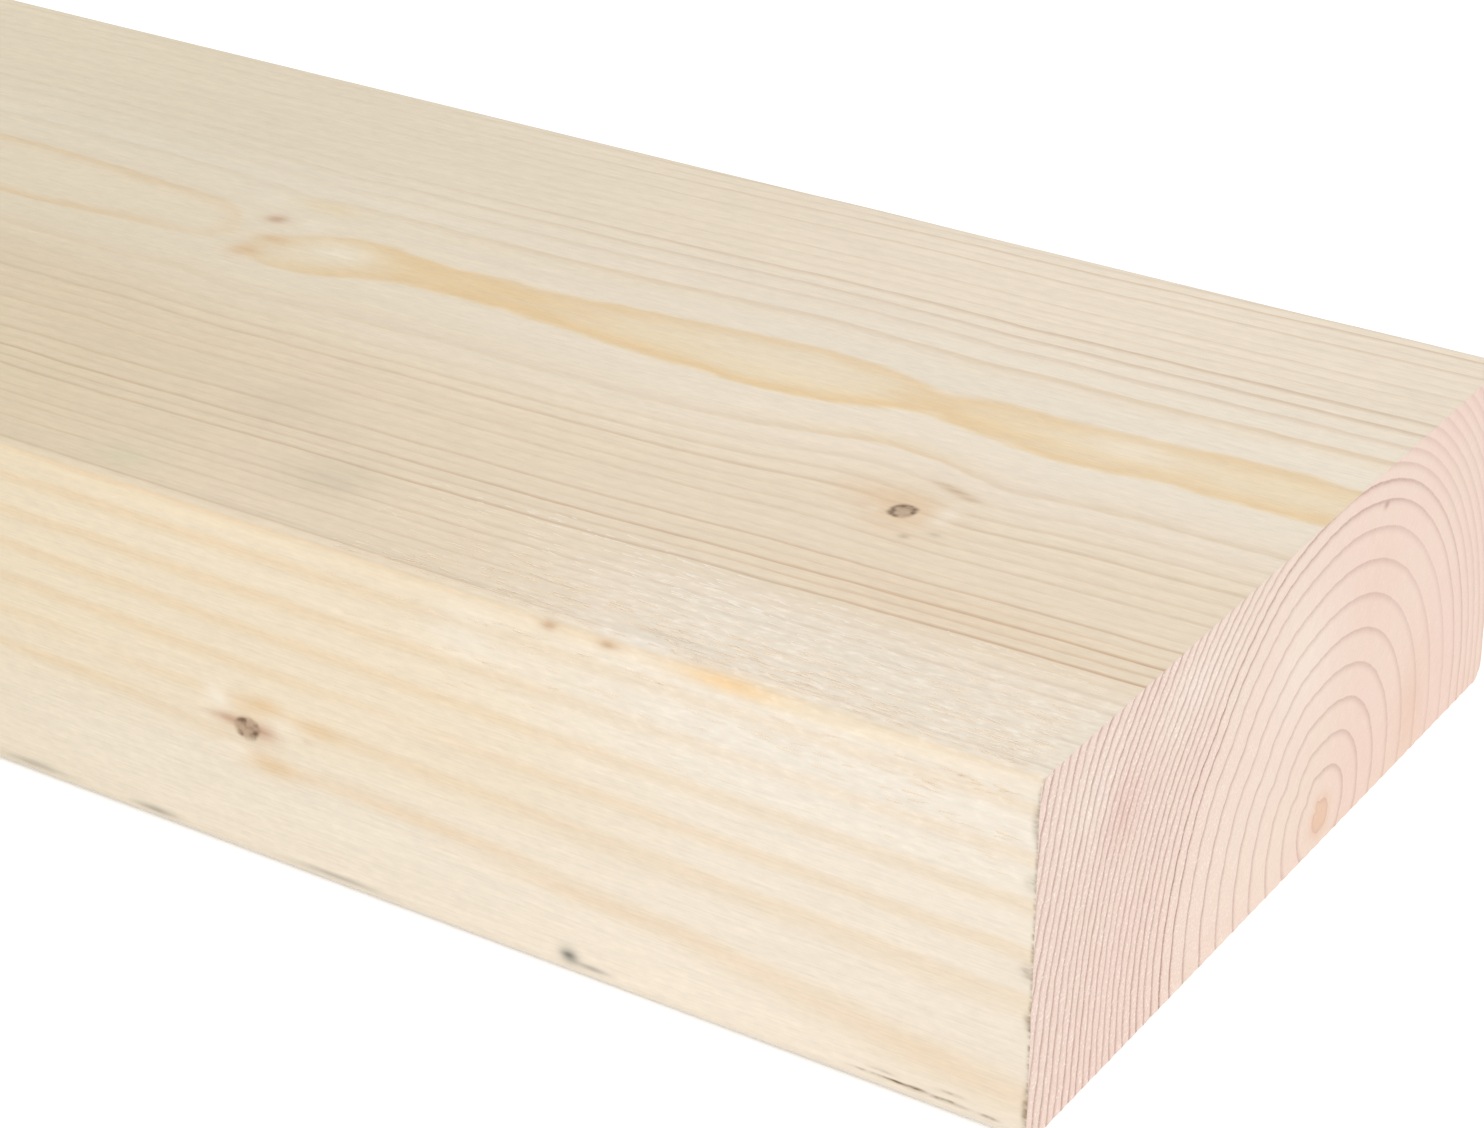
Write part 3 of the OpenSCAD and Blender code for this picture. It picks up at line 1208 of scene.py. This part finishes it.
class PLANK_OT_plank(bpy.types.Operator):
    """Make the plank in place of its plain solid"""

    bl_idname = "plank.make_plank"
    bl_label = "Make Plank"

    def execute(self, context):
        sizes = context.scene.plank_sizes
        colours = context.scene.wood_colours
        rings = rings_group(sizes)
        fibres = shared_fibres()
        top_grain = planed_material("planed_top", top_marks, sizes, colours, rings, fibres)
        side_grain = planed_material("planed_side", side_marks, sizes, colours, rings, fibres)
        end_grain = sawn_material(colours, rings)
        tree, sockets = plank_tree(sizes, top_grain, side_grain, end_grain)
        values = {
            "Length": sizes.length,
            "Width": sizes.width,
            "Thickness": sizes.thickness,
            "Edge Radius": sizes.edge_radius,
            "Relief": sizes.relief,
            "Saw Depth": sizes.saw_depth,
        }
        piece = made_mesh("planed_plank", tree, sockets, values)
        if not piece.data.polygons:
            raise RuntimeError("the plank has no faces")
        add_bake_map(piece.data)
        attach(piece, BODY)
        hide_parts(NODE)
        return {"FINISHED"}


class PLANK_OT_fibres(bpy.types.Operator):
    """Make the fibres that the planer raised by the near top edge"""

    bl_idname = "plank.make_fibres"
    bl_label = "Make Raised Fibres"

    def execute(self, context):
        sizes = context.scene.plank_sizes
        material = fibre_material(context.scene.wood_colours, shared_fibres())
        tree, sockets = fibre_tree(sizes, material)
        values = {
            "Count": FIBRE_COUNT,
            "Length": sizes.fibre_length,
            "Thickness": sizes.fibre_thickness,
        }
        piece = made_mesh("raised_fibres", tree, sockets, values)
        if not piece.data.polygons:
            raise RuntimeError("the raised fibres have no faces")
        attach(piece, BODY)
        return {"FINISHED"}


class PLANK_OT_stage(bpy.types.Operator):
    """Make the floor, the light and the camera"""

    bl_idname = "plank.make_stage"
    bl_label = "Make Stage"

    def execute(self, context):
        stage = context.scene.stage_sizes
        make_floor(stage)
        make_light(stage)
        make_camera(stage)
        context.scene.view_settings.view_transform = "Standard"
        return {"FINISHED"}


def seen_rays(tree):
    """Mask of the rays on which the background shows: straight, reflected or passed through."""
    path = add_node(tree, "ShaderNodeLightPath")
    seen = Field(tree, path.outputs["Is Camera Ray"])
    for name in ("Is Glossy Ray", "Is Transmission Ray"):
        seen = seen.most(Field(tree, path.outputs[name]))
    return seen


def make_floor(stage):
    """Large pale floor that is white to the camera and keeps the plank's shadow."""
    mesh = bpy.data.meshes.new("floor")
    turns = ((-1, -1), (1, -1), (1, 1), (-1, 1))
    corners = [(x * FLOOR_REACH, y * FLOOR_REACH, 0.0) for x, y in turns]
    mesh.from_pydata(corners, [], [(0, 1, 2, 3)])
    floor = bpy.data.objects.new("floor", mesh)
    bpy.context.scene.collection.objects.link(floor)
    material = bpy.data.materials.new("pale_floor")
    material.use_nodes = True
    tree = material.node_tree
    tree.nodes.clear()
    diffuse = result(tree, "ShaderNodeBsdfDiffuse", {"Color": (*stage.floor, 1.0)})
    glow = result(tree, "ShaderNodeEmission", {"Strength": seen_rays(tree) * FLOOR_GLOW})
    both = add_node(tree, "ShaderNodeAddShader", (diffuse, glow))
    out = tree.nodes.new("ShaderNodeOutputMaterial")
    tree.links.new(both.outputs[0], out.inputs["Surface"])
    mesh.materials.append(material)


def make_light(stage):
    """Even white surroundings and one soft lamp on the camera's side."""
    world = bpy.data.worlds.new("studio")
    bpy.context.scene.world = world
    world.use_nodes = True
    tree = world.node_tree
    tree.nodes.clear()
    strength = seen_rays(tree) * (1.0 - stage.sky_level) + stage.sky_level
    back = add_node(tree, "ShaderNodeBackground", {"Color": (1.0, 1.0, 1.0, 1.0), "Strength": strength})
    out = tree.nodes.new("ShaderNodeOutputWorld")
    tree.links.new(back.outputs[0], out.inputs["Surface"])
    lamp = bpy.data.lights.new("soft_lamp", "SUN")
    lamp.angle = stage.lamp_spread
    lamp.energy = stage.lamp_level
    holder = bpy.data.objects.new("soft_lamp", lamp)
    bpy.context.scene.collection.objects.link(holder)
    holder.location = LAMP_WAY
    holder.rotation_euler = (-holder.location).to_track_quat("-Z", "Y").to_euler()


def make_camera(stage):
    """Camera at the photographer's place."""
    data = bpy.data.cameras.new("camera")
    data.lens = stage.focal_length
    data.sensor_width = SENSOR_WIDTH
    data.clip_start = CLIP_START
    camera = bpy.data.objects.new("camera", data)
    bpy.context.scene.collection.objects.link(camera)
    corner = Vector((CAD_HIGH.x, CAD_LOW.y, CAD_LOW.z))
    camera.location = corner + Vector(stage.camera_place)
    camera.rotation_euler = (math.pi / 2 - stage.camera_elevation, 0.0, stage.camera_azimuth)
    bpy.context.scene.camera = camera


class PLANK_PT_panel(bpy.types.Panel):
    """Sidebar panel that lists the steps"""

    bl_label = "Planed Plank"
    bl_idname = "PLANK_PT_panel"
    bl_space_type = "VIEW_3D"
    bl_region_type = "UI"
    bl_category = "Plank"

    def draw(self, context):
        for operator in (PLANK_OT_plank, PLANK_OT_fibres, PLANK_OT_stage):
            self.layout.operator(operator.bl_idname)


GROUPS = {"plank_sizes": PlankSizes, "wood_colours": WoodColours, "stage_sizes": StageSizes}
CLASSES = (*GROUPS.values(), PLANK_OT_plank, PLANK_OT_fibres, PLANK_OT_stage, PLANK_PT_panel)


def register():
    """Adds the classes, and the settings to the scene."""
    for cls in CLASSES:
        bpy.utils.register_class(cls)
    for name, cls in GROUPS.items():
        setattr(bpy.types.Scene, name, PointerProperty(type=cls))


def unregister():
    """Takes the settings and the classes away again."""
    for name in GROUPS:
        delattr(bpy.types.Scene, name)
    for cls in reversed(CLASSES):
        bpy.utils.unregister_class(cls)


def main():
    """Makes everything in order."""
    register()
    bpy.ops.plank.make_plank()
    bpy.ops.plank.make_fibres()
    bpy.ops.plank.make_stage()


if __name__ == "__main__":
    main()
